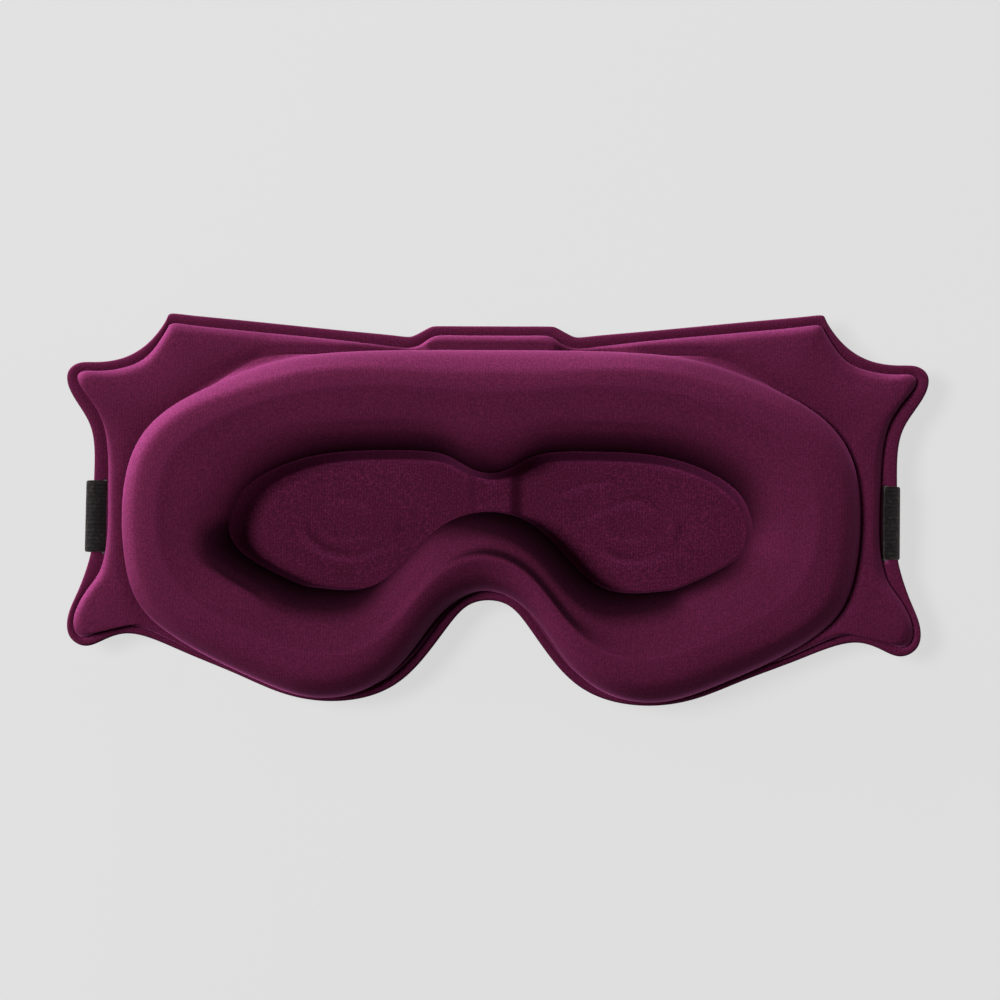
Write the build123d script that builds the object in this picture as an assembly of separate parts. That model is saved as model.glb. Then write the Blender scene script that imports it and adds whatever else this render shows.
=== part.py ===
from build123d import *
import math
import os

# Contoured sleep eye mask, lying on its front with the face side up.
# Millimetres.  +X wearer-side right, +Y forehead, +Z towards the face.
# Origin under the middle of the mask, on the surface it lies on.

# ---- driving dimensions -------------------------------------------------
FLANGE_Z = 17.8            # middle of the pressed edge above the table
FLANGE_T = 1.2             # pressed edge, all layers
FABRIC = 0.5               # knit cover fabric
FILM = 0.2                 # hot-melt bonding film
PAD_INSET = 2.6            # wing pad edge inside the outer edge
PAD_STEP = 1.8             # inset of the upper half of the pad's edge
PAD_TOP = FLANGE_Z + 5.5   # top of the wing pad, cover included
PAD_AT_STRAP = 107.3       # pad edge beside the strap loops
BELLY = 2.0                # the front stands this far proud of the pressed edge
BELLY_AT_STRAP = 104.8
RIM_Z = FLANGE_Z + 10.0    # inner rim of the face ring
CREST_Z = FLANGE_Z + 17.0  # highest line of the face ring
FLOOR_Z = FLANGE_Z - 12.0  # visible floor of each eye cavity
SADDLE_Z = FLANGE_Z - 7.5  # visible floor between the eyes
SHELL_T = 2.5              # moulded foam of the front shell
WALL_LEAN = 2.0            # cavity wall lean from rim to floor

BAND_W = 20.0              # elastic strap width
BAND_T = 0.9               # elastic strap thickness
LOOP_X = 110.4             # centre of the flange strip in the strap loop
LOOP_Y = -3.3
STRIP_W = 2.2              # flange strip outside each slot
SLOT_W = 1.8
SLOT_L = 23.0
LOOP_R = 2.4               # outside radius of the strap loop
EXIT_DEG = 38.0            # strap leaves the loop this far below level
KINK_X = 88.0              # where the strap reaches the table
TAIL_DEG = 6.8             # skew that keeps the two tails side by side
TAIL_L = {-1: 160.0, 1: 140.0}   # flat tail of the left and right strap
PLY_L = 17.0               # doubled, sewn end of each strap
PATCH_T = 1.0
PATCH_L = {-1: 74.0, 1: 44.0}    # loop patch, hook patch
THREAD = 0.3
INSET_PTS = 180            # corners of each inset outline

# ---- outlines, right half, from the forehead to the nose ----------------
EDGE_TOP = [(0, 50.4), (17.3, 50.4), (23.2, 47.3), (90.6, 53.8), (91.4, 53.5)]
EDGE_SIDE = [
    (91.4, 53.5), (94.4, 48.4), (98.8, 44.0), (104.8, 41.0), (112.0, 40.0),
    (116.8, 39.7), (119.6, 37.4), (119.3, 33.0), (115.8, 27.2), (112.7, 21.6),
    (111.5, 14.0), (111.5, 4.0), (111.5, -10.0), (112.8, -17.2), (115.4, -24.5),
    (117.9, -31.0), (117.4, -36.8), (113.0, -39.4), (107.6, -37.6), (101.5, -35.8),
    (94.0, -37.2), (84.0, -41.2), (70.0, -46.7), (58.0, -51.5), (46.0, -53.75),
    (34.0, -52.6), (25.0, -48.5), (17.6, -41.2), (10.6, -31.8), (5.6, -26.8), (0, -25.4),
]
# the face ring: each station gives its outer edge and its inner rim
RING = [
    ((0, 43.0), (0, 9.4)), ((14, 43.0), (6.5, 11.3)), ((34, 42.7), (14, 14.8)),
    ((57, 40.3), (30, 15.6)), ((75, 34.0), (50, 13.8)), ((92, 24.1), (66, 6.8)),
    ((101.2, 9), (71.6, -1)), ((100.8, -17.5), (69.5, -12.5)), ((92, -32.8), (56, -20.3)),
    ((64, -48), (48, -22.7)), ((48, -53), (41, -23.3)), ((34, -51.1), (33, -22.4)),
    ((22, -42), (24.5, -16.6)), ((12, -29), (13, -5.3)), ((0, -23.2), (0, -1.3)),
]


def plate(face, z0, z1):
    """Flat plate of an outline between two heights."""
    return extrude(Pos(0, 0, z0) * face, z1 - z0, dir=(0, 0, 1))


def box(x0, x1, y0, y1, z0, z1):
    at = Pos((x0 + x1) / 2, (y0 + y1) / 2, (z0 + z1) / 2)
    return at * Box(x1 - x0, y1 - y0, z1 - z0)


def mask_outline():
    """Outer edge of the mask, both halves."""
    half = Polyline(*EDGE_TOP) + Spline(*EDGE_SIDE)
    return make_face(half.edges() + mirror(half, about=Plane.YZ).edges())


def inset(face, amount):
    """Outline moved inwards, as a fine polygon."""
    wire = offset(face, amount=-amount).face().outer_wire()
    return Face(Wire.make_polygon([wire.position_at(i / INSET_PTS) for i in range(INSET_PTS)]))


def body_outline(edge, amount, at_strap):
    """Raised body inside the pressed edge, set back to x = at_strap beside each strap loop."""
    body = inset(edge, amount)
    for side in (-1, 1):
        body = body - Pos(side * (at_strap + 10), LOOP_Y) * Rectangle(20, SLOT_L + 3)
    return body


def cavity_loop(grow, z):
    """Closed inner rim, moved outwards by grow, at height z."""
    right = [c for _, c in RING]
    loop = [(-x, y) for x, y in reversed(right[1:-1])] + right
    pts = []
    for i, (x, y) in enumerate(loop):
        (xa, ya), (xb, yb) = loop[i - 1], loop[(i + 1) % len(loop)]
        run = math.hypot(xb - xa, yb - ya)
        pts.append((x - grow * (yb - ya) / run, y + grow * (xb - xa) / run, z))
    return Wire([Spline(*pts, periodic=True)])


def cavity(grow, floor, saddle, top):
    """Space of both eye cavities and the channel between them."""
    lean = WALL_LEAN * (RIM_Z - floor) / (RIM_Z - FLOOR_Z)
    levels = [(grow - lean, floor), (grow, RIM_Z), (grow, top)]
    space = loft([Face(cavity_loop(g, z)) for g, z in levels], ruled=True)
    half = 8.0 - grow
    with BuildPart() as bridge:
        with BuildSketch(Plane.XZ):
            with BuildLine():
                Polyline((-half, floor - 1), (half, floor - 1), (half - 2.5, saddle),
                         (2.5 - half, saddle), close=True)
            make_face()
        extrude(amount=30, both=True)
    return space - bridge.part


def ring_section(outer, inner, g):
    """Section of the face ring; g is the fabric added over the foam."""
    (xo, yo), (xi, yi) = outer, inner
    w = math.hypot(xi - xo, yi - yo)
    ux, uy = (xi - xo) / w, (yi - yo) / w
    foot = PAD_TOP - FABRIC
    top = CREST_Z - FABRIC
    arch = [(1.6 - g, foot), (-g + FABRIC, foot + 2.0), (1.9 - 0.9 * g, top - 5.3 + 0.5 * g),
            (5.2 - 0.6 * g, top - 1.6 + 0.8 * g), (9.5, top + g), (15, top - 0.7 + g),
            (w - 6.5, RIM_Z + 3.0 + g), (w - 1.5, RIM_Z + 0.6 + g), (w + 1.2, RIM_Z - 0.6 + g)]
    pts = [(xo + ux * d, yo + uy * d, z) for d, z in arch]
    end = (xo + ux * (w + 1.2), yo + uy * (w + 1.2), foot)
    return Face(Wire([Spline(*pts), Line(pts[-1], end), Line(end, pts[0])]))


def ring_body(g):
    """Whole ring before the cavity is cut out of it."""
    half = loft([ring_section(outer, inner, g) for outer, inner in RING])
    return half + mirror(half, about=Plane.YZ)


def strap_slots():
    """The two slots that the strap loops pass through, and the edge trimmed straight inside each loop."""
    x1 = LOOP_X - STRIP_W / 2
    cut = box(x1 - SLOT_W, x1, LOOP_Y - SLOT_L / 2, LOOP_Y + SLOT_L / 2, 0, CREST_Z)
    cut = cut + box(x1 + STRIP_W, 125, LOOP_Y - BAND_W / 2 - 0.5, LOOP_Y - 4.7, 0, CREST_Z)
    return cut + mirror(cut, about=Plane.YZ)


# ---- mask body ----------------------------------------------------------
def make_mask():
    edge = mask_outline()
    pad = body_outline(edge, PAD_INSET, PAD_AT_STRAP - FABRIC)
    pad_high = body_outline(edge, PAD_INSET + PAD_STEP, PAD_AT_STRAP - FABRIC - PAD_STEP)
    skin = body_outline(edge, PAD_INSET - FABRIC, PAD_AT_STRAP)
    skin_high = body_outline(edge, PAD_INSET + PAD_STEP - FABRIC, PAD_AT_STRAP - PAD_STEP)
    belly_foam = body_outline(edge, PAD_INSET, BELLY_AT_STRAP - FABRIC)
    belly_skin = body_outline(edge, PAD_INSET - FABRIC, BELLY_AT_STRAP)
    slots = strap_slots()
    low = FLANGE_Z - FLANGE_T / 2
    shell_low = low + 0.3
    film_low = FLANGE_Z - FILM / 2
    film_high = FLANGE_Z + FILM / 2
    step_z = PAD_TOP - 2.2

    hollow = cavity(0, FLOOR_Z, SADDLE_Z, CREST_Z + 5)
    lined = cavity(FABRIC, FLOOR_Z - FABRIC, SADDLE_Z - FABRIC, CREST_Z + 5)
    g_foam = FABRIC + SHELL_T
    dome_foam = cavity(g_foam, FLOOR_Z - g_foam, SADDLE_Z - g_foam, RIM_Z)
    g_out = g_foam + FABRIC
    dome_out = cavity(g_out, FLOOR_Z - g_out, SADDLE_Z - g_out, RIM_Z)
    below = box(-130, 130, -70, 70, -5, film_low)

    pad_foam = plate(pad, film_high, step_z) + plate(pad_high, step_z, PAD_TOP - FABRIC)
    pad_foam = pad_foam - lined
    ring_foam = ring_body(0) - lined

    shell = plate(edge, shell_low, film_low) + plate(belly_foam, low + 0.3 - BELLY, film_low)
    shell = shell + (dome_foam & below) - lined
    front = plate(edge, low, shell_low) + plate(belly_skin, low - BELLY, shell_low)
    front = front + (dome_out & below) - shell - lined - box(-130, 130, -70, 70, shell_low, 60)
    lining = (lined & below) - hollow
    film = plate(edge, film_low, film_high) - lined
    face = plate(edge, film_high, FLANGE_Z + FLANGE_T / 2)
    face = face + plate(skin, film_high, step_z + FABRIC) + plate(skin_high, step_z, PAD_TOP)
    face = face + ring_body(FABRIC) - pad_foam - ring_foam - hollow

    return {
        "front_cover": front - slots,
        "front_shell_foam": shell - slots,
        "edge_bond_film": film - slots,
        "cavity_lining": lining,
        "wing_pad_foam": pad_foam,
        "face_ring_foam": ring_foam,
        "face_cover": face - slots,
    }


# ---- straps -------------------------------------------------------------
def tail_frame(side):
    """Frame at the strap's touch-down, x along the tail, z up."""
    turn = TAIL_DEG if side < 0 else TAIL_DEG + 180
    return Pos(side * KINK_X, LOOP_Y, 0) * Rot(0, 0, turn)


def slant_frame():
    """Frame at the right loop, x along the outgoing strap, z square to it, mask side up."""
    d = math.radians(EXIT_DEG)
    return Plane(origin=(LOOP_X, LOOP_Y, FLANGE_Z), x_dir=(-math.cos(d), 0, -math.sin(d)),
                 z_dir=(-math.sin(d), 0, math.cos(d)))


def strap_root():
    """Loop round the flange strip, doubled sewn end and the slanted run, right side."""
    frame = slant_frame()
    ring = Cylinder(LOOP_R, BAND_W) - Cylinder(LOOP_R - BAND_T, BAND_W + 2)
    ring = Rot(90, 0, 0) * ring
    start = LOOP_R - BAND_T / 2
    run = (FLANGE_Z - BAND_T / 2) / math.sin(math.radians(EXIT_DEG))
    double = Pos(start + PLY_L / 2, 0, 0) * Box(PLY_L, BAND_W, 2 * BAND_T)
    single = Pos((start + run) / 2, 0, BAND_T / 2) * Box(run - start, BAND_W, BAND_T)
    root = frame.location * (ring + double + single)
    foot_x = LOOP_X - run * math.cos(math.radians(EXIT_DEG))
    foot = box(foot_x - 4, foot_x + 3, LOOP_Y - BAND_W / 2, LOOP_Y + BAND_W / 2, 0, BAND_T)
    root = root + foot
    return root & box(0, 130, -30, 30, 0, 60)


def tail(side):
    """Flat tail lying on the table; the right one steps up onto its hook patch."""
    length = TAIL_L[side]
    if side < 0:
        body = Pos(length / 2, 0, BAND_T / 2) * Box(length, BAND_W, BAND_T)
    else:
        rise = length - PATCH_L[side] - 4
        with BuildPart() as part:
            with BuildSketch(Plane.XZ):
                with BuildLine():
                    Polyline((0, 0), (rise, 0), (rise + 4, PATCH_T), (length, PATCH_T),
                             (length, PATCH_T + BAND_T), (rise + 4, PATCH_T + BAND_T),
                             (rise, BAND_T), (0, BAND_T), close=True)
                make_face()
            extrude(amount=BAND_W / 2, both=True)
        body = part.part
    return tail_frame(side) * body


def patch(side):
    """Hook-and-loop patch: on the mask side of the left tail, under the right one."""
    length = PATCH_L[side]
    z0 = BAND_T if side < 0 else 0
    body = Pos(TAIL_L[side] - length / 2 - 0.5, 0, z0 + PATCH_T / 2)
    return tail_frame(side) * body * Box(length - 1, BAND_W - 1, PATCH_T)


def seam_frame(length, width):
    """Rectangle of stitching, one thread thick."""
    outer = Box(length, width, THREAD)
    return outer - Box(length - 2 * THREAD, width - 2 * THREAD, THREAD * 3)


def patch_stitching(side):
    """Thread round the patch, sunk in the bare side of the band."""
    z = THREAD / 2 if side < 0 else PATCH_T + BAND_T - THREAD / 2
    at = Pos(TAIL_L[side] - PATCH_L[side] / 2 - 0.5, 0, z)
    return tail_frame(side) * at * seam_frame(PATCH_L[side] - 4, BAND_W - 4)


def fold_stitching():
    """Box stitch through the doubled end, right side: frame and two diagonals."""
    length, width = 10.0, BAND_W - 5
    seam = seam_frame(length, width)
    turn = math.degrees(math.atan2(width, length))
    for a in (turn, -turn):
        seam = seam + Rot(0, 0, a) * Box(math.hypot(length, width) - 1, THREAD, THREAD)
    at = Pos(LOOP_R + 9.5, 0, -BAND_T - THREAD / 2)
    return slant_frame().location * at * seam


def make_straps():
    root = strap_root()
    left_root = mirror(root, about=Plane.YZ)
    fold = fold_stitching()
    return {
        "strap_band_left": left_root + tail(-1) - patch_stitching(-1),
        "strap_band_right": root + tail(1) - patch_stitching(1),
        "loop_patch": patch(-1),
        "hook_patch": patch(1),
        "loop_patch_stitching": patch_stitching(-1),
        "hook_patch_stitching": patch_stitching(1),
        "fold_stitching_left": mirror(fold, about=Plane.YZ),
        "fold_stitching_right": fold,
    }


os.makedirs("parts", exist_ok=True)
for name, shape in {**make_mask(), **make_straps()}.items():
    export_step(shape, f"parts/{name}.step")
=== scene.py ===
import bmesh
import bpy
import math
import numpy as np
from mathutils import Matrix, Vector


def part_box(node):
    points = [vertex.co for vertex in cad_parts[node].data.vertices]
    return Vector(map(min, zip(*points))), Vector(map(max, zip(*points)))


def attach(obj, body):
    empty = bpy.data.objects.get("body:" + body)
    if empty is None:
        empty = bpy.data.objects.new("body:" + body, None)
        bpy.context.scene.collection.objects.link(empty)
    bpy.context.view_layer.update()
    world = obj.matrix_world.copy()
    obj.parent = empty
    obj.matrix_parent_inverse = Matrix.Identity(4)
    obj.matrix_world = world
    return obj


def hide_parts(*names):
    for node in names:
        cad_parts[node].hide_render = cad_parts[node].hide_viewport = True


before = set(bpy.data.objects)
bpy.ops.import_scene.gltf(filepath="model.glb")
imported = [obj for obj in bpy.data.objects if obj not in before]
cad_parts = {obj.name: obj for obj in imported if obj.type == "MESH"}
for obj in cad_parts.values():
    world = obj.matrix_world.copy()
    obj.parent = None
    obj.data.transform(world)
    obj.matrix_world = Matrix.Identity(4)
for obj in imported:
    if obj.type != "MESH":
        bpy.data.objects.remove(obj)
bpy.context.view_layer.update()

MM = 0.001
film_lo, film_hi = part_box("edge_bond_film")
FZ = (film_lo[2] + film_hi[2]) / 2 / MM      # middle of the pressed edge, mm
FLOOR = FZ - 12.0                            # floor of the eye cavities
SADDLE = FZ - 8.0                            # floor of the channel between them
RIM = 2.6                                    # ring's inner rim above the edge
CREST = 17.0                                 # ring's crest above the edge
HALF = 160                                   # columns of each half, top or bottom part
COLS = 2 * HALF

# Outer edge of the mask and foot of the raised pad, right half, forehead to nose
EDGE = [
    (0, 50.4, 0, 47.8), (8, 50.4, 8, 47.8), (15.8, 50.4, 14.8, 47.8), (17.7, 50.0, 16.8, 47.3),
    (22.0, 47.75, 20.4, 45.1), (24.0, 47.4, 23.2, 44.4), (28, 47.8, 28, 44.7),
    (42, 49.1, 42, 46.3), (58, 50.65, 58, 47.9), (74, 52.2, 74, 49.4), (86, 53.35, 85.5, 50.6),
    (90.2, 53.75, 89.8, 51.0), (91.35, 53.5, 90.9, 50.6), (91.9, 52.4, 91.4, 49.8),
    (94.4, 48.4, 93.0, 47.0), (98.8, 44.0, 96.8, 42.0), (104.8, 41.0, 102.6, 38.8),
    (112.0, 40.0, 110.3, 37.5), (116.8, 39.7, 114.8, 37.5), (119.6, 37.4, 116.7, 36.3),
    (119.3, 33.0, 116.0, 33.6), (115.8, 27.2, 112.4, 29.0), (112.7, 21.6, 109.1, 22.8),
    (111.5, 14.0, 107.6, 14.4), (111.5, 4.0, 107.2, 4.0), (111.5, -10.0, 107.3, -9.6),
    (112.8, -17.2, 109.0, -18.3), (115.4, -24.5, 112.6, -23.9), (117.9, -31.0, 115.8, -30.2),
    (117.4, -36.8, 115.9, -35.2), (113.0, -39.4, 112.9, -37.1), (107.6, -37.6, 107.4, -34.7),
    (101.5, -35.8, 101.6, -33.4), (94.0, -37.2, 94.8, -34.8), (84.0, -41.2, 84.9, -39.1),
    (70.0, -46.7, 70.8, -44.5), (58.0, -51.5, 58.4, -49.1), (46.0, -53.75, 46.0, -51.4),
    (34.0, -52.6, 34.9, -50.4), (25.0, -48.5, 26.6, -46.7), (17.6, -41.2, 19.4, -39.8),
    (10.6, -31.8, 12.2, -30.2), (5.6, -26.8, 6.4, -24.8), (0, -25.4, 0, -23.2),
]
# Outer edge of the face ring and inner rim, at matched stations
RING = [
    (0, 43.0, 0, 9.4), (14, 43.0, 6.5, 11.3), (34, 42.7, 14, 14.8), (57, 40.3, 30, 15.6),
    (75, 34.0, 50, 13.8), (92, 24.1, 66, 6.8), (100.6, 9, 71.6, -1), (100.3, -17.5, 69.5, -12.5),
    (92, -32.8, 56, -20.3), (64, -48, 48, -22.7), (48, -53, 41, -23.3), (34, -51.1, 33, -22.4),
    (22, -42, 24.5, -16.6), (12, -29, 13, -5.3), (0, -23.2, 0, -1.3),
]


# ---- curves -------------------------------------------------------------
def spline(u, pts, at):
    """Natural cubic spline through pts at parameters u, read at `at`."""
    u, y = np.asarray(u, float), np.asarray(pts, float)
    n, h = len(u), np.diff(u)
    a, b = np.eye(n), np.zeros_like(y)
    for i in range(1, n - 1):
        a[i, i - 1:i + 2] = h[i - 1], 2 * (h[i - 1] + h[i]), h[i]
        b[i] = 6 * ((y[i + 1] - y[i]) / h[i] - (y[i] - y[i - 1]) / h[i - 1])
    m = np.linalg.solve(a, b)
    k = np.clip(np.searchsorted(u, at) - 1, 0, n - 2)
    s, r = np.asarray(at) - u[k], u[k + 1] - np.asarray(at)
    hk = h[k]
    if y.ndim > 1:
        s, r, hk = s[:, None], r[:, None], hk[:, None]
    return ((m[k] * r ** 3 + m[k + 1] * s ** 3) / (6 * hk)
            + (y[k] / hk - m[k] * hk / 6) * r + (y[k + 1] / hk - m[k + 1] * hk / 6) * s)


def half_spline(rows, per):
    """Spline of a half outline, mirrored past both ends so it meets the middle square."""
    p = np.asarray(rows, float)
    sign = np.where(np.arange(p.shape[1]) % 2 == 0, -1.0, 1.0)
    ext = np.vstack([p[3:0:-1] * sign, p, p[-2:-5:-1] * sign])
    step = np.hypot(*np.diff(ext[:, :2], axis=0).T) ** 0.5
    u = np.concatenate([[0], np.cumsum(step)])
    lo, hi = u[3], u[-4]
    return spline(u, ext, np.linspace(lo, hi, per))


def smooth_step(a, b, x):
    """0 at a, 1 at b, smooth between; a may be the larger."""
    t = np.clip((x - a) / (b - a), 0, 1)
    return t * t * (3 - 2 * t)


def resample(fine, n, weight=None):
    """n + 1 samples of a fine line at even arc length, denser where weight is high."""
    seg = np.hypot(*np.diff(fine[:, :2], axis=0).T)
    if weight is not None:
        seg = seg * (weight[1:] + weight[:-1]) / 2
    s = np.concatenate([[0], np.cumsum(seg)])
    at = np.linspace(0, s[-1], n + 1)
    return np.stack([np.interp(at, s, fine[:, k]) for k in range(fine.shape[1])], axis=1)


def smooth_line(v, rounds):
    """Line averaged with its neighbours, its ends kept."""
    for _ in range(rounds):
        v = v.copy()
        v[1:-1] = (v[:-2] + 2 * v[1:-1] + v[2:]) / 4
    return v


edge_fine = half_spline(EDGE, 4000)
corner = np.array([(17, 50.2), (23, 47.5), (91.5, 53.3), (119, 37), (116.5, -38)])
to_corner = edge_fine[:, None, :2] - corner
near = np.hypot(to_corner[..., 0], to_corner[..., 1]).min(axis=1)
edge = resample(edge_fine, COLS, 1 + 1.6 * np.exp(-(near / 4) ** 2))     # more columns round the corners
F, P = edge[:, :2], edge[:, 2:]

RING_STEPS = 3000
ring_fine = half_spline(RING, RING_STEPS)
gap = np.hypot(P[:, None, 0] - ring_fine[:, 0], P[:, None, 1] - ring_fine[:, 1])
# Station 0 to 1 along the ring that is nearest to each column's pad edge, smoothed
station = np.maximum.accumulate(np.argmin(gap, axis=1) / (RING_STEPS - 1.0))
station = smooth_line(0.8 * station + 0.2 * np.linspace(0, 1, COLS + 1), 60)
station[0], station[-1] = 0, 1


def points_at(line, at):
    """Points of an evenly stepped line at stations 0 to 1."""
    return np.stack([np.interp(at, np.linspace(0, 1, len(line)), line[:, k]) for k in (0, 1)], axis=1)


R, C = points_at(ring_fine[:, :2], station), points_at(ring_fine[:, 2:], station)


def unit(v):
    return v / np.maximum(np.linalg.norm(v, axis=-1, keepdims=True), 1e-9)


def inward(curve):
    """Unit normals of a half outline, pointing into the mask."""
    d = np.gradient(curve, axis=0)
    d[0, 1] = d[-1, 1] = 0
    return unit(np.stack([d[:, 1], -d[:, 0]], axis=1))


RC = unit(C - R)
WIDTH = np.linalg.norm(C - R, axis=1)
C_IN = inward(C)


# ---- meshes -------------------------------------------------------------
def xyz(plan, z):
    z = np.broadcast_to(np.asarray(z, float), (len(plan),))
    return np.concatenate([plan, z[:, None]], axis=1)


def between(a, b, v):
    return a + (b - a) * v


def loop_rows(rows):
    """Half rows, forehead to nose, mirrored to full loops."""
    half = np.stack(rows)
    return np.concatenate([half, half[:, -2:0:-1] * np.array([-1.0, 1, 1])], axis=1)


def patch_faces(ring, base, rows, height, points, faces):
    """Fills a loop with lines from its upper to its lower part; height gives z at x, y."""
    n = len(ring) // 4
    cols = np.arange(-n, n + 1)
    top = np.where(cols >= 0, cols, 4 * n + cols)
    low = 2 * n - cols
    ids = np.zeros((rows + 1, len(cols)), int)
    ids[0], ids[-1] = base + top % (4 * n), base + low
    ids[:, 0], ids[:, -1] = base + 3 * n, base + n
    for i in range(1, rows):
        v = i / rows
        p = between(ring[top[1:-1] % (4 * n), :2], ring[low[1:-1], :2], v)
        ids[i, 1:-1] = len(points) + np.arange(len(p))
        points.extend(np.concatenate([p, height(p[:, 0], p[:, 1])[:, None]], axis=1).tolist())
    for i in range(rows):
        for j in range(len(cols) - 1):
            face = [ids[i, j], ids[i, j + 1], ids[i + 1, j + 1], ids[i + 1, j]]
            face = list(dict.fromkeys(int(k) for k in face))
            if len(face) > 2:
                faces.append(face)


def shell_object(name, rows, closed=False, start=None, end=None, up=0, thick=0.0, subdiv=0, split=0):
    """Mesh of half rows; start and end are (lines, height function) of the patches that fill a loop.
    Faces from row `split` on take the second material."""
    full = loop_rows(rows)
    nr, nc = full.shape[:2]
    points, faces = full.reshape(-1, 3).tolist(), []
    for i in range(nr if closed else nr - 1):
        a, b = i * nc, (i + 1) % nr * nc
        faces += [[a + j, a + (j + 1) % nc, b + (j + 1) % nc, b + j] for j in range(nc)]
    if start:
        patch_faces(full[0], 0, *start, points, faces)
    if end:
        patch_faces(full[-1], (nr - 1) * nc, *end, points, faces)
    obj = mesh_object(name, points, faces, up, thick, subdiv)
    if split:
        obj.data.materials.append(None)
        obj.data.materials.append(None)
        for f in list(obj.data.polygons)[split * nc:]:
            f.material_index = 1
    return obj


def mesh_object(name, points, faces, up=0, thick=0.0, subdiv=1):
    """Object from points in mm; up is the side, +1 or -1, that an open sheet shows."""
    mesh = bpy.data.meshes.new(name)
    mesh.from_pydata([[k * MM for k in p] for p in points], [], faces)
    bm = bmesh.new()
    bm.from_mesh(mesh)
    bmesh.ops.recalc_face_normals(bm, faces=bm.faces)
    if up and sum(f.normal.z * f.calc_area() for f in bm.faces) * up < 0:
        bmesh.ops.reverse_faces(bm, faces=bm.faces)
    bm.to_mesh(mesh)
    bm.free()
    obj = bpy.data.objects.new(name, mesh)
    bpy.context.scene.collection.objects.link(obj)
    if thick:
        m = obj.modifiers.new("thickness", "SOLIDIFY")
        m.thickness, m.offset, m.use_even_offset = thick * MM, -1.0, False
    if subdiv:
        m = obj.modifiers.new("smooth", "SUBSURF")
        m.levels = m.render_levels = subdiv
    mesh.shade_smooth()
    return obj


def even_loop(fine, n):
    """Half outline with n even steps above its side point and n below."""
    k = int(np.argmax(fine[:, 0]))
    return np.vstack([resample(fine[:k + 1], n), resample(fine[k:], n)[1:]])


def cut_slots(obj):
    """Cuts the two strap slots out of a finished piece."""
    cutters = []
    for side in (-1, 1):
        x0, x1 = sorted((side * 107.7, side * 109.2))
        pts = []
        for k in range(16):
            a = math.pi * (k if k < 8 else k - 8 + 7) / 7
            y = 9.65 + 0.75 * math.sin(a) if k < 8 else -9.65 + 0.75 * math.sin(a)
            pts.append(((x0 + x1) / 2 + 0.75 * math.cos(a), y - 3.3))
        bottom = [(x, y, FZ - 4) for x, y in pts]
        top = [(x, y, FZ + 3) for x, y in pts]
        n = len(pts)
        faces = [[k, (k + 1) % n, n + (k + 1) % n, n + k] for k in range(n)]
        faces += [list(range(n))[::-1], list(range(n, 2 * n))]
        cutter = mesh_object("slot_cutter", bottom + top, faces, subdiv=0)
        m = obj.modifiers.new("slot", "BOOLEAN")
        m.object, m.operation, m.solver = cutter, "DIFFERENCE", "EXACT"
        cutters.append(cutter)
    deps = bpy.context.evaluated_depsgraph_get()
    mesh = bpy.data.meshes.new_from_object(obj.evaluated_get(deps))
    obj.modifiers.clear()
    obj.data = mesh
    for c in cutters:
        bpy.data.objects.remove(c, do_unlink=True)


# ---- face skin ----------------------------------------------------------
GAP = np.linalg.norm(R - P, axis=1)
PAD_H = 1.3 + 4.2 * smooth_step(1.2, 4.0, GAP)
SHOULDER = np.minimum(4.4, 0.45 * GAP + 0.25)
PROFILE_ROWS = 46                            # rows over the ring's arch
INNER_ROWS = 26                              # of these and the rim's, the rows inside its crest


def ring_profile():
    """Ring's arch as (distance in from R, height over the edge) for each column."""
    w = WIDTH
    one = np.ones_like(w)
    roll = np.minimum(12.5, 0.5 * w)
    soft = smooth_step(90, 62, R[:, 0]) * (R[:, 1] > 0)    # the forehead side slopes more gently
    cove = soft * smooth_step(3, 9, GAP)
    d = [1.3 - 3.8 * cove, 0.35 - 1.5 * cove, 0 * one, 0.35 + 0.5 * soft, 1.5 + 1.2 * soft,
         3.6 + 1.9 * soft, np.minimum(6.4 + 1.8 * soft, 0.31 * w), 0.36 * w, 0.43 * w]
    d += [w - roll * v for v in (1, 0.76, 0.54, 0.35, 0.2, 0.09, 0.02, 0)]
    z = [PAD_H - 0.9 + 0.6 * cove, PAD_H + 0.5 - 0.1 * cove, np.maximum(PAD_H + 1.6, 6.8)]
    z += [h * one for h in (9.6, 12.4, 14.9, 16.4, CREST, 16.8, 15.65, 14.8, 13.5, 11.7, 9.6, 7.2, 4.6,
                            RIM + 0.2)]
    k = np.arange(len(d))
    fine = np.linspace(0, len(d) - 1, PROFILE_ROWS)
    return spline(k, np.stack(d), fine), spline(k, np.stack(z), fine)


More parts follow.
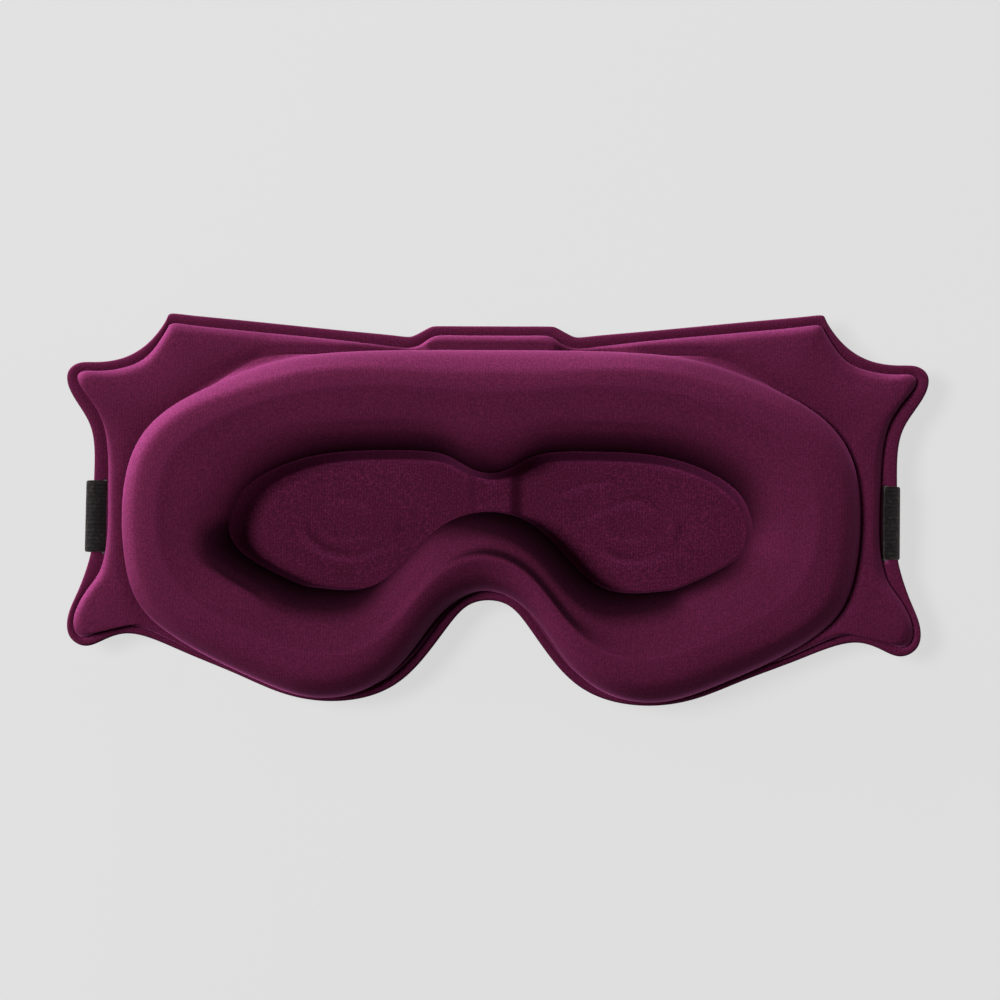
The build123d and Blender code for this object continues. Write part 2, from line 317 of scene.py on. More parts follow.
def face_rows():
    """Rows of the skin: rolled lip, pressed edge, pad's shoulder and top, ring and inner rim."""
    rows = [xyz(F + 0.35 * unit(P - F), FZ + 0.12), xyz(F, FZ + 0.16), xyz(F, FZ + 0.40),
            xyz(F + 0.25 * unit(P - F), FZ + 0.58)]
    for v, z in ((0.26, 0.70), (0.5, 0.66), (0.7, 0.52), (0.84, 0.33), (0.95, 0.20)):
        rows.append(xyz(between(F, P, v), FZ + z))
    out = unit(R - P)
    for a in np.linspace(0, math.pi / 2, 7):
        plan = P + out * (SHOULDER * (1 - math.cos(a)))[:, None]
        rows.append(xyz(plan, FZ + 0.1 + (PAD_H - 0.1) * math.sin(a)))
    start = P + out * SHOULDER[:, None]
    dd, zz = ring_profile()
    foot = R + RC * dd[0][:, None]
    run = np.linalg.norm(foot - start, axis=1)
    for v in (0.12, 0.28, 0.45, 0.62, 0.78, 0.9):
        crown = 0.5 * 4 * v * (1 - v) * np.clip(run / 18, 0, 1)
        dip = 0.8 * np.exp(-((1 - v) * run / 2.4) ** 2) * smooth_step(1.0, 5.0, run)
        rows.append(xyz(between(start, foot, v), FZ + PAD_H + crown - dip))
    for d, z in zip(dd, zz):
        rows.append(xyz(R + RC * d[:, None], FZ + z))
    rows.append(xyz(C - C_IN * 0.25, FZ + RIM - 0.6))
    return rows


skin_rows = face_rows()
# The rows inside the crest take the second material, a copy of the knit with painted shade and no sheen.
face = shell_object("face_cover_knit", skin_rows, up=1, thick=0.42, split=len(skin_rows) - INNER_ROWS)


# ---- cavity lining ------------------------------------------------------
def arc_relief(x, y, centre, radii, width, a0, a1):
    """Soft raised arc of an ellipse, between two angles in degrees."""
    dx, dy = (x - centre[0]) / radii[0], (y - centre[1]) / radii[1]
    angle = np.degrees(np.arctan2(dy, dx)) % 360
    off = np.abs((angle - (a0 + a1) / 2 + 180) % 360 - 180)
    fade = 1 - smooth_step((a1 - a0) * 0.36, (a1 - a0) * 0.5, off)
    return np.exp(-((np.hypot(dx, dy) - 1) * min(radii) / width) ** 2) * fade


def line_relief(x, y, a, b, bow, width):
    """Soft raised crease from a to b, bowed sideways by bow mm in its middle."""
    run = math.hypot(b[0] - a[0], b[1] - a[1])
    ux, uy = (b[0] - a[0]) / run, (b[1] - a[1]) / run
    u = ((x - a[0]) * ux + (y - a[1]) * uy) / run
    v = (y - a[1]) * ux - (x - a[0]) * uy - bow * 4 * np.clip(u, 0, 1) * (1 - np.clip(u, 0, 1))
    return np.exp(-(v / width) ** 2) * smooth_step(-0.05, 0.3, u) * smooth_step(1.05, 0.7, u)


def floor_height(x, y):
    """Lining's floor: two eye cups and a raised channel between them."""
    ax = np.abs(x)
    cup = smooth_step(4.0, 8.4, ax)
    z = SADDLE + (FLOOR - SADDLE) * cup
    ex, ey = (ax - 40) / 27, (y + 3.5) / 18
    z = z - 0.6 * np.clip(1 - ex ** 2 - ey ** 2, 0, 1) * cup
    left = x < 0
    z = z + left * (1.3 * arc_relief(x, y, (-41, -3), (13, 10), 1.2, 178, 364)
                    + 0.5 * arc_relief(x, y, (-42, -2.3), (7.5, 5.6), 1.2, 0, 360)
                    + 0.5 * line_relief(x, y, (-51.5, 13.2), (-43.5, 9.8), 0.4, 0.8))
    z = z + ~left * (1.1 * arc_relief(x, y, (39, -3.5), (11.5, 10), 1.2, 215, 375)
                     + 1.0 * line_relief(x, y, (16.5, 4.2), (35, 8.6), 1.2, 0.9)
                     + 1.0 * line_relief(x, y, (25, -2.6), (44, 4.0), 1.4, 0.9)
                     + 0.5 * arc_relief(x, y, (38, -2.0), (7, 5.2), 1.2, 0, 360))
    return z


def lining_rows(n, out=0.0):
    """Cup wall, from under the ring's rim to the floor; out moves it outwards, for the foam."""
    c = even_loop(ring_fine[:, 2:], n)
    c_in = inward(c)
    c = c - c_in * out
    top = FZ + RIM
    zf = floor_height(c[:, 0], c[:, 1]) - out
    lean = (1.1 - 0.2 * c_in[:, 1] + 1.0 * c_in[:, 0] ** 2) * (top - zf) / (top - FLOOR)
    start = top - 0.7
    rows = [xyz(c - c_in * 0.5, top - 0.9), xyz(c - c_in * 0.25, top - 0.35), xyz(c + c_in * 0.05, start)]
    for v in (0.15, 0.35, 0.55, 0.75, 0.9):
        rows.append(xyz(c + c_in * (0.05 + lean * v)[:, None], between(start, zf + 0.9, v)))
    low = c + c_in * lean[:, None]
    for d, dz in ((0.12, 0.45), (0.5, 0.1), (1.2, 0.0)):
        p = low + c_in * d
        rows.append(xyz(p, floor_height(p[:, 0], p[:, 1]) + dz - out))
    return rows


lining = shell_object("cavity_lining_knit", lining_rows(150), end=(52, floor_height), up=1, thick=0.4)


# ---- front of the mask --------------------------------------------------
beside = smooth_step(18, 13, np.abs(P[:, 1] + 3.3)) * (P[:, 0] > 100)
BELLY_FOOT = P + inward(P) * (2.7 * beside)[:, None]


def belly_rows(g):
    """Front surface from the pressed edge to the dome's outline; g is the depth inside the fabric."""
    out = unit(P - F)
    rows = [xyz(between(F, BELLY_FOOT, v) + out * g * 0.5, FZ - z + g) for v, z in
            ((0.08, 0.58), (0.35, 0.60), (0.65, 0.58), (0.9, 0.46))]
    outline = ring_fine[:, 2:] - inward(ring_fine[:, 2:]) * (7.0 - g)
    even = even_loop(np.column_stack([outline, np.linspace(0, 1, len(outline))]), HALF)[:, 2]
    foot = BELLY_FOOT + inward(P) * g
    run = unit(points_at(outline, station) - foot)
    for a in np.linspace(0, math.pi / 2, 6):
        rows.append(xyz(foot + run * 2.2 * (1 - math.cos(a)), FZ + g - 0.35 - 2.2 * math.sin(a)))
    start = foot + run * 2.2
    for v in (0.2, 0.4, 0.6, 0.8, 0.93):
        dome = points_at(outline, between(station, even, smooth_step(0, 1, v)))
        rows.append(xyz(between(start, dome, v), FZ + g - 2.55 - 0.4 * math.sin(math.pi * v)))
    dome = points_at(outline, even)
    d_in = inward(dome)
    for d in (0, 0.25, 0.7, 1.4, 2.4, 3.8, 5.6, 7.8, 10.2):
        p = dome + d_in * d
        rows.append(xyz(p, dome_height(p[:, 0], d) + g))
    return rows


def dome_height(x, d=13.0):
    """Outside of the eye domes, d mm inside their outline."""
    lip = (1 - (1 - np.clip(d / 13.0, 0, 1)) ** 2.4) ** (1 / 1.7)
    cup = 0.69 + 0.31 * smooth_step(2.0, 12.0, np.abs(x))
    return FZ - 2.55 - (FZ - 2.55 - 2.35) * lip * cup


edge_roll = [xyz(F + 0.3 * unit(P - F), FZ - 0.13), xyz(F - 0.15 * unit(P - F), FZ - 0.17),
             xyz(F - 0.15 * unit(P - F), FZ - 0.42)]
front = shell_object("front_cover_knit", edge_roll + belly_rows(0.0),
                     end=(30, lambda x, y: dome_height(x)), up=-1, thick=0.4)

# ---- foams and film inside the skins ------------------------------------
G = 0.55                                     # fabric and glue over each foam
G_FRONT = 0.35                               # and inside the front cover


def shell_foam_rows():
    """Moulded shell: up the cavity wall, out under the film and down round the front."""
    rim = even_loop(ring_fine[:, 2:], HALF)
    plan = [rim - inward(rim) * 3, between(C - C_IN * 3, P, 0.55), between(C - C_IN * 3, P, 0.9),
            F + 1.0 * unit(P - F)]
    top = [xyz(p, FZ - 0.14) for p in plan] + [xyz(F + 0.7 * unit(P - F), FZ - 0.2)]
    return lining_rows(HALF, G)[:1:-1] + top + belly_rows(G_FRONT)


shell_foam = shell_object("front_shell_foam_moulded", shell_foam_rows(),
                          start=(30, lambda x, y: floor_height(x, y) - G),
                          end=(30, lambda x, y: dome_height(x) + G_FRONT))


def inset_profile(g):
    """Ring's arch moved g inside the fabric."""
    d, z = ring_profile()
    td, tz = np.gradient(d, axis=0), np.gradient(z, axis=0)
    size = np.hypot(td, tz)
    return d + g * tz / size, z - g * td / size


def ring_foam_rows():
    d, z = inset_profile(G)
    keep = [k for k in range(len(d)) if z[k].min() > 5.6]
    rows = [xyz(R + RC * (d[keep[0]] + 0.1)[:, None], FZ + 4.95)]
    rows += [xyz(R + RC * d[k][:, None], FZ + z[k]) for k in keep]
    rows.append(xyz(R + RC * (d[keep[-1]] - 0.1)[:, None], FZ + 4.95))
    rows += [xyz(R + RC * (WIDTH * v)[:, None], FZ + 4.9) for v in (0.8, 0.6, 0.4, 0.2)]
    return rows


ring_foam = shell_object("face_ring_foam_block", ring_foam_rows(), closed=True)


def pad_foam_rows():
    out = unit(R - P)
    low = np.minimum(PAD_H - G, 4.6)
    edge_in = P + inward(P) * (G + 0.2)
    rows = [xyz(edge_in + out * 0.1, FZ + 0.15), xyz(edge_in, FZ + 0.15 + 0.3 * low)]
    for a in np.linspace(0.5, math.pi / 2, 5):
        plan = edge_in + out * (SHOULDER * (1 - math.cos(a)))[:, None]
        rows.append(xyz(plan, FZ + low * math.sin(a)))
    start = edge_in + out * SHOULDER[:, None]
    foot = R + RC * 2.6
    rows += [xyz(between(start, foot, v), FZ + low) for v in (0.25, 0.5, 0.75)]
    rows += [xyz(foot, FZ + np.minimum(low + 1.0, 4.7)), xyz(R + RC * 5.0, FZ + 4.75)]
    rows += [xyz(R + RC * (w_in)[:, None], FZ + 4.75) for w_in in (WIDTH * 0.5, WIDTH - 4.0)]
    rows += [xyz(R + RC * (WIDTH - 1.9)[:, None], FZ + 4.5), xyz(R + RC * (WIDTH - 1.4)[:, None], FZ + 2.2),
             xyz(R + RC * (WIDTH - 1.4)[:, None], FZ + 0.15), xyz(R + RC * (WIDTH * 0.5)[:, None], FZ + 0.13)]
    return rows


pad_foam = shell_object("wing_pad_foam_layer", pad_foam_rows(), closed=True)
film_in = C - C_IN * 1.3
film_plan = [between(F, P, 0.05), P, between(P, film_in, 0.5), film_in]
film = shell_object("edge_bond_film_sheet", [xyz(p, FZ + 0.1) for p in film_plan]
                    + [xyz(p, FZ - 0.1) for p in film_plan[::-1]], closed=True)
for piece in (face, front, film):
    cut_slots(piece)


# ---- straps -------------------------------------------------------------
LOOP = np.array([110.4, -3.3])
EXIT = math.radians(38)
SKEW = math.radians(6.8)
KINK = 88.0


def local_point(s, h):
    """Point s mm down the slanted run and h mm to its mask side, right strap, as x and z."""
    return (LOOP[0] - s * math.cos(EXIT) - h * math.sin(EXIT), FZ - s * math.sin(EXIT) + h * math.cos(EXIT))


def strap_path(side, length, rise):
    """Centre line of a strap: sewn end, loop through the slot, slanted run and flat tail."""
    pts = [local_point(s, h) for s, h in ((18.9, -0.46), (14, -0.46), (9.5, -0.46), (6.5, -0.5),
                                          (4.4, -0.68))]
    mid, wide = (110.75, 2.5) if side < 0 else (110.25, 1.8)
    pts += [(mid + wide * math.cos(math.radians(a)), FZ + 1.98 * math.sin(math.radians(a)))
            for a in (252, 275, 298, 322, 346, 10, 34, 58, 82, 106, 130, 154, 178)]
    pts += [local_point(s, h) for s, h in ((4.4, 0.68), (6.5, 0.5), (9.5, 0.46), (14, 0.46), (18.5, 0.46),
                                           (22, 0.46))]
    pts += [(89.6, 1.75), (86.6, 0.75), (83.4, 0.47), (80, 0.46)]
    flat = np.linspace(12, length, 24)
    pts = [(x, 0.0, z) for x, z in pts]
    pts += [(KINK - d, 1.0, 0.46 + smooth_step(length - rise - 5, length - rise, d)) for d in flat]
    p = np.array(pts)
    u = np.concatenate([[0], np.cumsum(np.linalg.norm(np.diff(p[:, [0, 2]], axis=0), axis=1) ** 0.5)])
    at = np.concatenate([np.linspace(0, u[24], 150)[:-1], np.linspace(u[24], u[-1], 110)])
    line = spline(u, p[:, [0, 2]], at)
    line[:, 1] = np.maximum(line[:, 1], 0.46)
    turn = smooth_step(96, 80, line[:, 0]) * SKEW * -side
    past = np.maximum(KINK - line[:, 0], 0)
    x = np.where(past > 0, KINK - past * math.cos(SKEW), line[:, 0])
    y = LOOP[1] + past * math.sin(SKEW) * -side
    centre = np.stack([side * x, y, line[:, 1]], axis=1)
    across = np.stack([side * np.sin(turn), np.cos(turn), 0 * turn], axis=1)
    return centre, across


def band_object(name, centre, across, width, thick):
    """Flat band with rounded edges along a line."""
    tangent = unit(np.gradient(centre, axis=0))
    normal = unit(np.cross(tangent, across))
    across = unit(np.cross(normal, tangent))
    w, t = width / 2, thick / 2
    u = np.array([-w, -w + 0.08, -w + 0.35, -w + 1.1, -w + 3, -w / 2, -2, 2, w / 2, w - 3, w - 1.1, w - 0.35,
                  w - 0.08, w])
    v = t * np.array([0, 0.62, 0.98, 1, 1, 1, 1, 1, 1, 1, 1, 0.98, 0.62, 0])
    u, v = np.concatenate([u, u[-2:0:-1]]), np.concatenate([v, -v[-2:0:-1]])
    n = len(u)
    ends = [0.0, 0.55, 0.9] + [1.0] * (len(centre) - 6) + [0.9, 0.55, 0.0]
    points, faces = [], []
    for c, a, m, e in zip(centre, across, normal, ends):
        points += (c + np.outer(u, a) + np.outer(v * max(e, 0.25), m)).tolist()
    for i in range(len(centre) - 1):
        a, b = i * n, (i + 1) * n
        faces += [[a + j, a + (j + 1) % n, b + (j + 1) % n, b + j] for j in range(n)]
    last = len(points) - n
    for j in range(1, n // 2):
        k = (n - j) % n
        faces.append([j, j - 1, (k + 1) % n, k] if j > 1 else [1, 0, n - 1])
        faces.append([last + i for i in ([j - 1, j, k, (k + 1) % n] if j > 1 else [0, 1, n - 1])])
    faces.append([n // 2 - 1, n // 2, n // 2 + 1][::-1])
    faces.append([last + n // 2 - 1, last + n // 2, last + n // 2 + 1])
    return mesh_object(name, points, faces, subdiv=1)


def stitches(name, lines, up, pitch=2.6, size=0.17):
    """Sewing along polylines: one small arched rod a stitch."""
    points, faces = [], []
    up = unit(np.asarray(up, float))
    for line in lines:
        for a, b in zip(line[:-1], line[1:]):
            a, b = np.asarray(a, float), np.asarray(b, float)
            run = np.linalg.norm(b - a)
            d = (b - a) / run
            side = np.cross(d, up)
            n = max(1, round(run / pitch))
            for k in range(n):
                start = a + d * run * (k + 0.1) / n
                base = len(points)
                for v, r, h in ((0, 0.45, -0.12), (0.12, 0.9, -0.03), (0.5, 1.0, 0.02), (0.88, 0.9, -0.03),
                                (1, 0.45, -0.12)):
                    c = start + d * run * 0.8 / n * v + up * h
                    for q in range(6):
                        w = q * math.pi / 3
                        points.append((c + size * r * (math.cos(w) * side + math.sin(w) * up)).tolist())
                for i in range(4):
                    faces += [[base + i * 6 + q, base + i * 6 + (q + 1) % 6, base + i * 6 + 6 + (q + 1) % 6,
                               base + i * 6 + 6 + q] for q in range(6)]
                faces += [[base + q for q in range(6)][::-1], [base + 24 + q for q in range(6)]]
    return mesh_object(name, points, faces, subdiv=0)


def tail_point(side, along, out, z):
    """Point on a tail: along it from the kink, out across it."""
    d = np.array([-side * math.cos(SKEW), -side * math.sin(SKEW)])
    n = np.array([-d[1], d[0]])
    at = np.array([side * KINK, LOOP[1]]) + d * along + n * out
    return at[0], at[1], z


def rectangle(side, a0, a1, half, z):
    """Closed outline of a patch's seam on a tail."""
    corners = ((a0, -half), (a1, -half), (a1, half), (a0, half), (a0, -half))
    return [tail_point(side, a, h, z) for a, h in corners]


def plate_object(name, side, a0, a1, half, z0, z1, step, rough):
    """Rounded patch on a tail, its upper side raised by up to `rough` in loose loops."""
    na, nh = int((a1 - a0) / step), int(2 * half / step)
    rng = np.random.default_rng(7)
    points, faces = [], []
    for top in (1, 0):
        for i in range(na + 1):
            for j in range(nh + 1):
                a, h = a0 + (a1 - a0) * i / na, -half + 2 * half * j / nh
                rim = min(a - a0, a1 - a, half - abs(h))
                z = z1 - 0.25 * math.exp(-rim / 0.4) if top else z0
                if top and rim > 0:
                    z -= rough * rng.random()
                shrink = 1.2 if min(a - a0, a1 - a) < 0.1 and half - abs(h) < 0.1 else 0
                a += shrink * 0.4 * (1 if a < (a0 + a1) / 2 else -1)
                h -= shrink * 0.4 * math.copysign(1, h)
                points.append(tail_point(side, a, h, z))
    row, size = nh + 1, (na + 1) * (nh + 1)
    for i in range(na):
        for j in range(nh):
            k, m = i * row + j, size + i * row + j
            faces += [[k, k + 1, k + row + 1, k + row], [m, m + row, m + row + 1, m + 1]]
    rim = list(range(nh)) + [i * row + nh for i in range(na)]
    rim += [na * row + j for j in range(nh, 0, -1)] + [i * row for i in range(na, 0, -1)]
    for k, m in zip(rim, rim[1:] + rim[:1]):
        faces.append([k, m, size + m, size + k])
    return mesh_object(name, points, faces, subdiv=1 if rough else 0)


def hook_object(name, side, a0, a1, half, z0, z1):
    """Hook tape: a thin tape with rows of small bent hooks under it."""
    tape = plate_object(name, side, a0, a1, half, z1 - 0.42, z1, 1.5, 0.0)
    points = [list(v.co / MM) for v in tape.data.vertices]
    faces = [list(f.vertices) for f in tape.data.polygons]
    bpy.data.objects.remove(tape, do_unlink=True)
    root = z1 - 0.42
    tall = root - z0
    for i, a in enumerate(np.arange(a0 + 1.4, a1 - 1.2, 1.35)):
        for h in np.arange(-half + 1.3, half - 1.2, 1.15):
            way = 1 if i % 2 else -1
            base = len(points)
            for da, dz, r in ((0, 0.05, 0.17), (0.02, -0.5 * tall, 0.14), (0.16, -0.88 * tall, 0.12),
                              (0.42, -0.97 * tall, 0.11), (0.6, -0.72 * tall, 0.07)):
                for q in range(4):
                    w = q * math.pi / 2 + 0.6
                    points.append(tail_point(side, a + way * da + r * math.cos(w) * 0.8, h + r * math.sin(w),
                                             root + dz))
            for k in range(4):
                faces += [[base + 4 * k + q, base + 4 * k + (q + 1) % 4, base + 4 * k + 4 + (q + 1) % 4,
                           base + 4 * k + 4 + q] for q in range(4)]
            faces.append([base + 16 + q for q in range(4)])
    return mesh_object(name, points, faces, subdiv=0)


bands = {}
for side, word, length, rise in ((-1, "left", 160.0, -9.0), (1, "right", 140.0, 44.0)):
    centre, across = strap_path(side, length, rise)
    bands[word] = band_object("strap_band_" + word + "_webbing", centre, across, 20.0, 0.9)
    corners = []
    for s, h in ((6.9, -7.5), (16.9, -7.5), (16.9, 7.5), (6.9, 7.5), (6.9, -7.5), (16.9, 7.5)):
        x, z = local_point(s, -0.95)
        corners.append((side * x, LOOP[1] + h, z))
    cross = [corners[3], corners[1]]
    down = (side * math.sin(EXIT), 0, -math.cos(EXIT))
    bands[word + "_fold"] = stitches("fold_stitching_" + word + "_thread", [corners, cross], down)
loop = plate_object("loop_patch_pile", -1, 86.2, 159.4, 9.4, 0.93, 1.85, 0.6, 0.28)
hook = hook_object("hook_patch_tape", 1, 96.2, 139.4, 9.4, 0.08, 1.0)
loop_seam = stitches("loop_patch_stitching_thread", [rectangle(-1, 88.5, 157.5, 8.0, 0.14)], (0, 0, -1),
                     size=0.14)
hook_seam = stitches("hook_patch_stitching_thread", [rectangle(1, 98.5, 137.5, 8.0, 1.94)], (0, 0, 1),
                     size=0.15)

for piece, body, node, finish in (
        (face, "mask", "face_cover", "knit_face"), (lining, "mask", "cavity_lining", "knit_lining"),
        (front, "mask", "front_cover", "knit_front"), (shell_foam, "mask", "front_shell_foam", "shell_foam"),
        (ring_foam, "mask", "face_ring_foam", "memory_foam"), (pad_foam, "mask", "wing_pad_foam", "pad_foam"),
        (film, "mask", "edge_bond_film", "bond_film"),
        (bands["left"], "strap_left", "strap_band_left", "elastic"),
        (bands["right"], "strap_right", "strap_band_right", "elastic"),
        (bands["left_fold"], "strap_left", "fold_stitching_left", "thread"),
        (bands["right_fold"], "strap_right", "fold_stitching_right", "thread"),
        (loop, "strap_left", "loop_patch", "loop_pile"), (hook, "strap_right", "hook_patch", "hook_tape"),
        (loop_seam, "strap_left", "loop_patch_stitching", "thread"),
        (hook_seam, "strap_right", "hook_patch_stitching", "thread")):
    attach(piece, body)
    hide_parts(node)


# ---- materials ----------------------------------------------------------
def shader(name, **fixed):
    mat = bpy.data.materials.new(name)
    mat.use_nodes = True
    bsdf = mat.node_tree.nodes["Principled BSDF"]
    for key, value in fixed.items():
        bsdf.inputs[key.replace("_", " ")].default_value = value
    return mat, mat.node_tree, bsdf


def noise(tree, scale, detail=2.0, stretch=(1, 1, 1)):
    """Noise on object coordinates in metres."""
    coord = tree.nodes.new("ShaderNodeTexCoord")
    mapping = tree.nodes.new("ShaderNodeMapping")
    mapping.inputs["Scale"].default_value = stretch
    tex = tree.nodes.new("ShaderNodeTexNoise")
    tex.inputs["Scale"].default_value = scale
    tex.inputs["Detail"].default_value = detail
    tree.links.new(coord.outputs["Object"], mapping.inputs["Vector"])
    tree.links.new(mapping.outputs["Vector"], tex.inputs["Vector"])
    return tex.outputs["Fac"]


def wales(tree, pitch, axis="X"):
    """Fine parallel ribs, one each `pitch` metres along an axis."""
    coord = tree.nodes.new("ShaderNodeTexCoord")
    split = tree.nodes.new("ShaderNodeSeparateXYZ")
    tree.links.new(coord.outputs["Object"], split.inputs[0])
    scaled = arith(tree, "MULTIPLY", split.outputs[axis], 2 * math.pi / pitch)
    wave = arith(tree, "SINE", scaled)
    return arith(tree, "MULTIPLY_ADD", wave, 0.5, 0.5)


def arith(tree, kind, *values):
    """Math node on sockets and numbers."""
    node = tree.nodes.new("ShaderNodeMath")
    node.operation = kind
    for k, v in enumerate(values):
        if isinstance(v, (int, float)):
            node.inputs[k].default_value = v
        else:
            tree.links.new(v, node.inputs[k])
    return node.outputs[0]


def vector(tree, kind, a, b):
    node = tree.nodes.new("ShaderNodeVectorMath")
    node.operation = kind
    tree.links.new(a, node.inputs[0])
    if kind == "SCALE":
        node.inputs["Scale"].default_value = b
    else:
        tree.links.new(b, node.inputs[1])
    return node.outputs[0]


def ramp(tree, fac, stops):
    node = tree.nodes.new("ShaderNodeValToRGB")
    while len(node.color_ramp.elements) < len(stops):
        node.color_ramp.elements.new(0.5)
    for e, (at, colour) in zip(node.color_ramp.elements, stops):
        e.position, e.color = at, (*colour, 1)
    tree.links.new(fac, node.inputs["Fac"])
    return node.outputs["Color"]


def bump(tree, bsdf, height, distance, strength=1.0):
    node = tree.nodes.new("ShaderNodeBump")
    node.inputs["Strength"].default_value = strength
    node.inputs["Distance"].default_value = distance
    tree.links.new(height, node.inputs["Height"])
    tree.links.new(node.outputs["Normal"], bsdf.inputs["Normal"])


def knit(name, colour, sheen, painted_light_toward, painted_light_factors, fleck=1.36):
    """Brushed jersey: fine wales, fibre speckle and a faint cloud of uneven dye, under painted light and
    shade:
    a steep face is painted lighter, as a painted highlight and sheen, or darker, as painted shade, by how far
    it faces the given direction; the listed multipliers run from facing away to facing it. fleck is how light
    the lightest fibres are."""
    mat, tree, bsdf = shader(name, Roughness=0.85, Specular_IOR_Level=0.02, Sheen_Weight=sheen,
                             Sheen_Roughness=0.35, Sheen_Tint=(1.0, 0.2, 0.62, 1))
    speck = noise(tree, 1900, 3)
    rib = wales(tree, 0.0008)
    cloud = noise(tree, 30, 3)
    slow = arith(tree, "ADD", arith(tree, "MULTIPLY", cloud, 0.14), arith(tree, "MULTIPLY", rib, 0.06))
    mixed = arith(tree, "ADD", arith(tree, "MULTIPLY", speck, 0.8), slow)
    c = np.array(colour)
    dyed = ramp(tree, mixed, [(0.34, c * 0.74), (0.5, c), (0.66, c * fleck)])
    # Painted light and shade: the dyed colour is multiplied by a value read from the face's normal, by how
    # far it faces the given direction.
    coord = tree.nodes.new("ShaderNodeTexCoord")
    split = tree.nodes.new("ShaderNodeSeparateXYZ")
    tree.links.new(coord.outputs["Normal"], split.inputs[0])
    painted_light_turn = arith(tree, "MULTIPLY_ADD", split.outputs["X"], painted_light_toward[0] / 2, 0.5)
    painted_light_turn = arith(tree, "MULTIPLY_ADD", split.outputs["Y"], painted_light_toward[1] / 2, painted_light_turn)
    most = max(painted_light_factors)
    painted_highlight_tint = [1 + 0.12 * max(v - 1, 0) for v in painted_light_factors]     # the painted highlight is greyer and more violet
    painted_light_multiplier = ramp(tree, painted_light_turn, [(k / (len(painted_light_factors) - 1), (v / most, v / most * c, v / most * c))
                                 for k, (v, c) in enumerate(zip(painted_light_factors, painted_highlight_tint))])
    painted_light_colour = vector(tree, "SCALE", vector(tree, "MULTIPLY", dyed, painted_light_multiplier), most)
    tree.links.new(painted_light_colour, bsdf.inputs["Base Color"])
    height = arith(tree, "ADD", speck, arith(tree, "MULTIPLY", rib, 0.35))
    bump(tree, bsdf, height, 0.0001, 0.4)
    tree.links.new(arith(tree, "MULTIPLY_ADD", speck, 0.2, 0.74), bsdf.inputs["Roughness"])
    return mat


def foam(name, colour):
    """Open-cell foam: pores and a slightly uneven colour."""
    mat, tree, bsdf = shader(name, Roughness=0.95, Specular_IOR_Level=0.2)
    cells = tree.nodes.new("ShaderNodeTexVoronoi")
    cells.inputs["Scale"].default_value = 1100
    coord = tree.nodes.new("ShaderNodeTexCoord")
    tree.links.new(coord.outputs["Object"], cells.inputs["Vector"])
    c = np.array(colour)
    mixed = arith(tree, "ADD", arith(tree, "MULTIPLY", cells.outputs["Distance"], 0.7),
                  arith(tree, "MULTIPLY", noise(tree, 90), 0.5))
    tree.links.new(ramp(tree, mixed, [(0.3, c * 0.7), (0.75, c * 1.05)]), bsdf.inputs["Base Color"])
    bump(tree, bsdf, cells.outputs["Distance"], 0.0002, 0.7)
    return mat


def webbing(name, colour, sheen, tint):
    """Soft brushed elastic: cross ribs under a felted fuzz."""
    mat, tree, bsdf = shader(name, Roughness=0.9, Specular_IOR_Level=0.25, Sheen_Weight=sheen,
                             Sheen_Roughness=0.4, Sheen_Tint=(*tint, 1))
    fuzz = noise(tree, 900, 4)
    rib = wales(tree, 0.0011, "Y")
    cloud = noise(tree, 120, 2)
    mixed = arith(tree, "ADD", arith(tree, "MULTIPLY", fuzz, 0.7),
                  arith(tree, "ADD", arith(tree, "MULTIPLY", cloud, 0.2), arith(tree, "MULTIPLY", rib, 0.1)))
    c = np.array(colour)
    tree.links.new(ramp(tree, mixed, [(0.32, c * 0.4), (0.5, c), (0.68, c * 3.4)]), bsdf.inputs["Base Color"])
    bump(tree, bsdf, arith(tree, "ADD", fuzz, arith(tree, "MULTIPLY", rib, 0.25)), 0.0004, 0.9)
    return mat


def plain_nylon(name, colour, rough=0.5):
    """Thread, hook tape and film: a slightly glossy plastic with fine streaks."""
    mat, tree, bsdf = shader(name, Specular_IOR_Level=0.4)
    streak = noise(tree, 2500, 2, (1, 0.25, 1))
    c = np.array(colour)
    tree.links.new(ramp(tree, streak, [(0.35, c * 0.7), (0.65, c * 1.4)]), bsdf.inputs["Base Color"])
    tree.links.new(arith(tree, "MULTIPLY_ADD", streak, 0.3, rough - 0.15), bsdf.inputs["Roughness"])
    bump(tree, bsdf, streak, 0.00005, 0.5)
    return mat


PLUM = (0.080, 0.0095, 0.0345)
INK = (0.010, 0.009, 0.010)
# Painted light and shade on the knits: the cover's steep faces turned to -X and +Y get a painted highlight
# and painted sheen, up to 3.8 times as light, and those turned to +X and -Y painted shade; the ring's inner
# rows get a copy with no sheen and painted shade on their steep faces, darkest, down to 0.1, where they face
# +X and +Y; the lining's walls facing -Y are painted lighter, up to 2.2 times.
skin = knit("plum_knit", PLUM, 0.22, (-0.7, 0.7), (0.35, 0.42, 0.6, 0.85, 1, 1.2, 1.9, 3.0, 3.8))
painted_shade_inner_skin = knit("plum_knit_inner_painted_shade", PLUM, 0.0, (0.5, 0.85),
                  (0.3, 0.45, 0.75, 0.95, 1, 0.80, 0.24, 0.13, 0.10))
floor_skin = knit("plum_knit_lining", np.array(PLUM) * 0.84, 0.03, (0, 1),
                  (2.2, 1.9, 1.5, 1.2, 1, 1, 1, 1, 1), 1.8)
elastic = webbing("brushed_elastic", (0.0062, 0.0050, 0.0050), 0.20, (1.0, 0.84, 0.80))
thread = plain_nylon("polyester_thread", INK, 0.55)
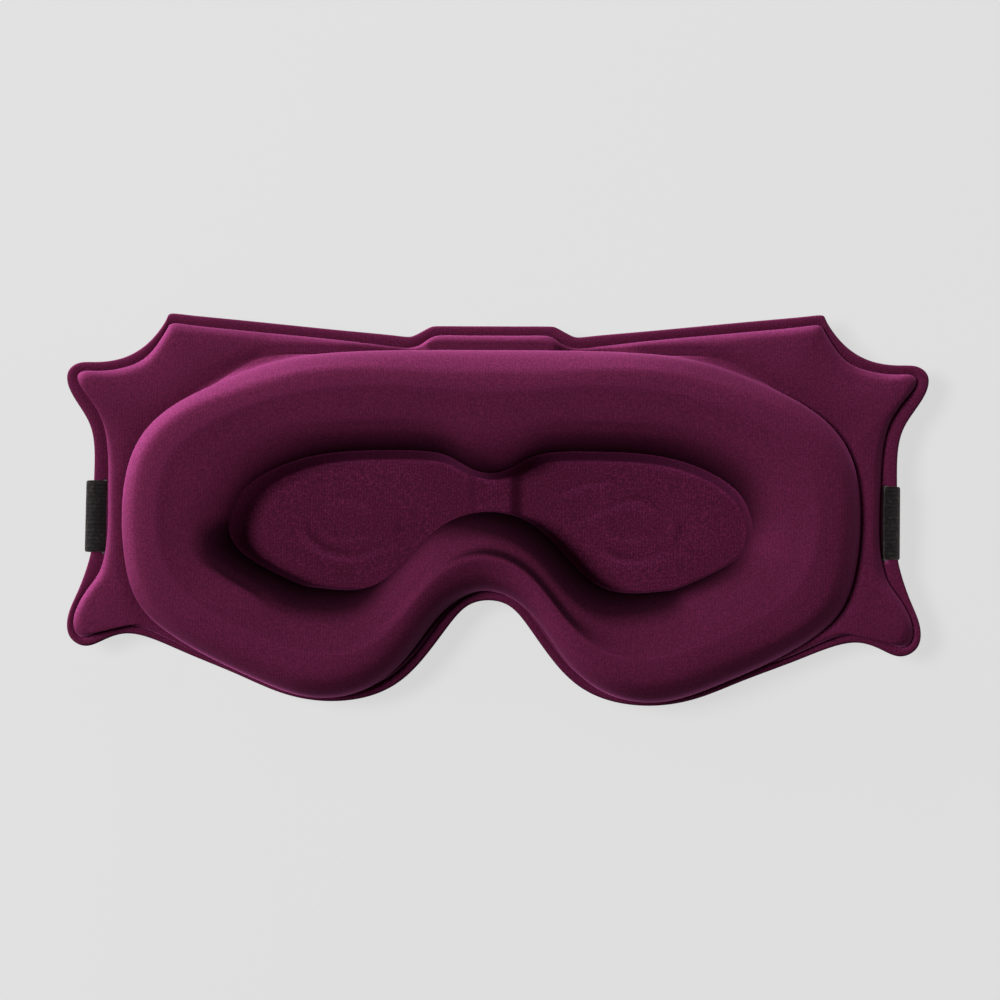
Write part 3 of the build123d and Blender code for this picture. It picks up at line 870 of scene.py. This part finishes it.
for objs, mat in (((face, front), skin), ((lining,), floor_skin), ((bands["left"], bands["right"]), elastic),
                  ((bands["left_fold"], bands["right_fold"], loop_seam, hook_seam), thread),
                  ((ring_foam,), foam("memory_foam", (0.62, 0.57, 0.42))),
                  ((pad_foam,), foam("soft_pad_foam", (0.66, 0.66, 0.64))),
                  ((shell_foam,), foam("moulded_shell_foam", (0.10, 0.10, 0.105))),
                  ((film,), plain_nylon("hot_melt_film", (0.022, 0.006, 0.012), 0.4)),
                  ((loop,), webbing("loop_pile", (0.012, 0.011, 0.012), 0.5, (1.0, 0.95, 1.0))),
                  ((hook,), plain_nylon("hook_tape_nylon", INK, 0.42))):
    for piece in objs:
        if piece.data.materials:
            piece.data.materials[0] = mat
        else:
            piece.data.materials.append(mat)
# The ring's inner rows take the copy with painted shade.
face.data.materials[1] = painted_shade_inner_skin


# ---- camera, light, floor ----------------------------------------------
def add_camera():
    cam = bpy.data.objects.new("camera", bpy.data.cameras.new("camera"))
    bpy.context.scene.collection.objects.link(cam)
    back = Vector((0.10, -0.073, 1.0)).normalized()
    dist = 0.90
    target = Vector((0.0030, 0.0020, FZ * MM + 0.003))
    cam.location = target + back * dist
    rot = (-back).to_track_quat("-Z", "Y")
    up = Vector((0, 1, 0))
    x_axis = up.cross(back).normalized()
    y_axis = back.cross(x_axis)
    m = Matrix((x_axis, y_axis, back)).transposed().to_4x4()
    m = m @ Matrix.Rotation(math.radians(0.9), 4, "Z")
    m.translation = cam.location
    cam.matrix_world = m
    cam.data.sensor_width = 36
    cam.data.lens = 36 / 2 / math.tan(math.radians(17.4 / 2))
    cam.data.clip_start, cam.data.clip_end = 0.05, 20
    bpy.context.scene.camera = cam


add_camera()
mesh = bpy.data.meshes.new("floor")
mesh.from_pydata([(-3, -3, 0), (3, -3, 0), (3, 3, 0), (-3, 3, 0)], [], [(0, 1, 2, 3)])
floor = bpy.data.objects.new("floor", mesh)
bpy.context.scene.collection.objects.link(floor)
mat, tree, bsdf = shader("floor", Roughness=0.9, Specular_IOR_Level=0.1)
bsdf.inputs["Base Color"].default_value = (0.1, 0.1, 0.1, 1)
bsdf.inputs["Emission Color"].default_value = (1, 1, 1, 1)
bsdf.inputs["Emission Strength"].default_value = 0.64
floor.data.materials.append(mat)


def area_light(name, loc, size, power, aim=(0, 0, 0.02)):
    data = bpy.data.lights.new(name, "AREA")
    data.shape, data.size, data.energy = "DISK", size, power
    obj = bpy.data.objects.new(name, data)
    bpy.context.scene.collection.objects.link(obj)
    obj.location = loc
    obj.rotation_mode = "QUATERNION"
    obj.rotation_quaternion = (Vector(aim) - Vector(loc)).to_track_quat("-Z", "Y")


area_light("overhead", (-0.5, 0.05, 1.72), 0.5, 26)
area_light("left_side", (-1.5, 0.25, 0.22), 0.4, 18)
area_light("top_side", (-0.2, 1.5, 0.20), 0.4, 12)
area_light("right_side", (1.5, 0.1, 0.2), 0.5, 9)
world = bpy.data.worlds.new("studio")
bpy.context.scene.world = world
world.use_nodes = True
world.node_tree.nodes["Background"].inputs["Color"].default_value = (1, 1, 1, 1)
world.node_tree.nodes["Background"].inputs["Strength"].default_value = 0.04
bpy.context.scene.view_settings.view_transform = "Standard"
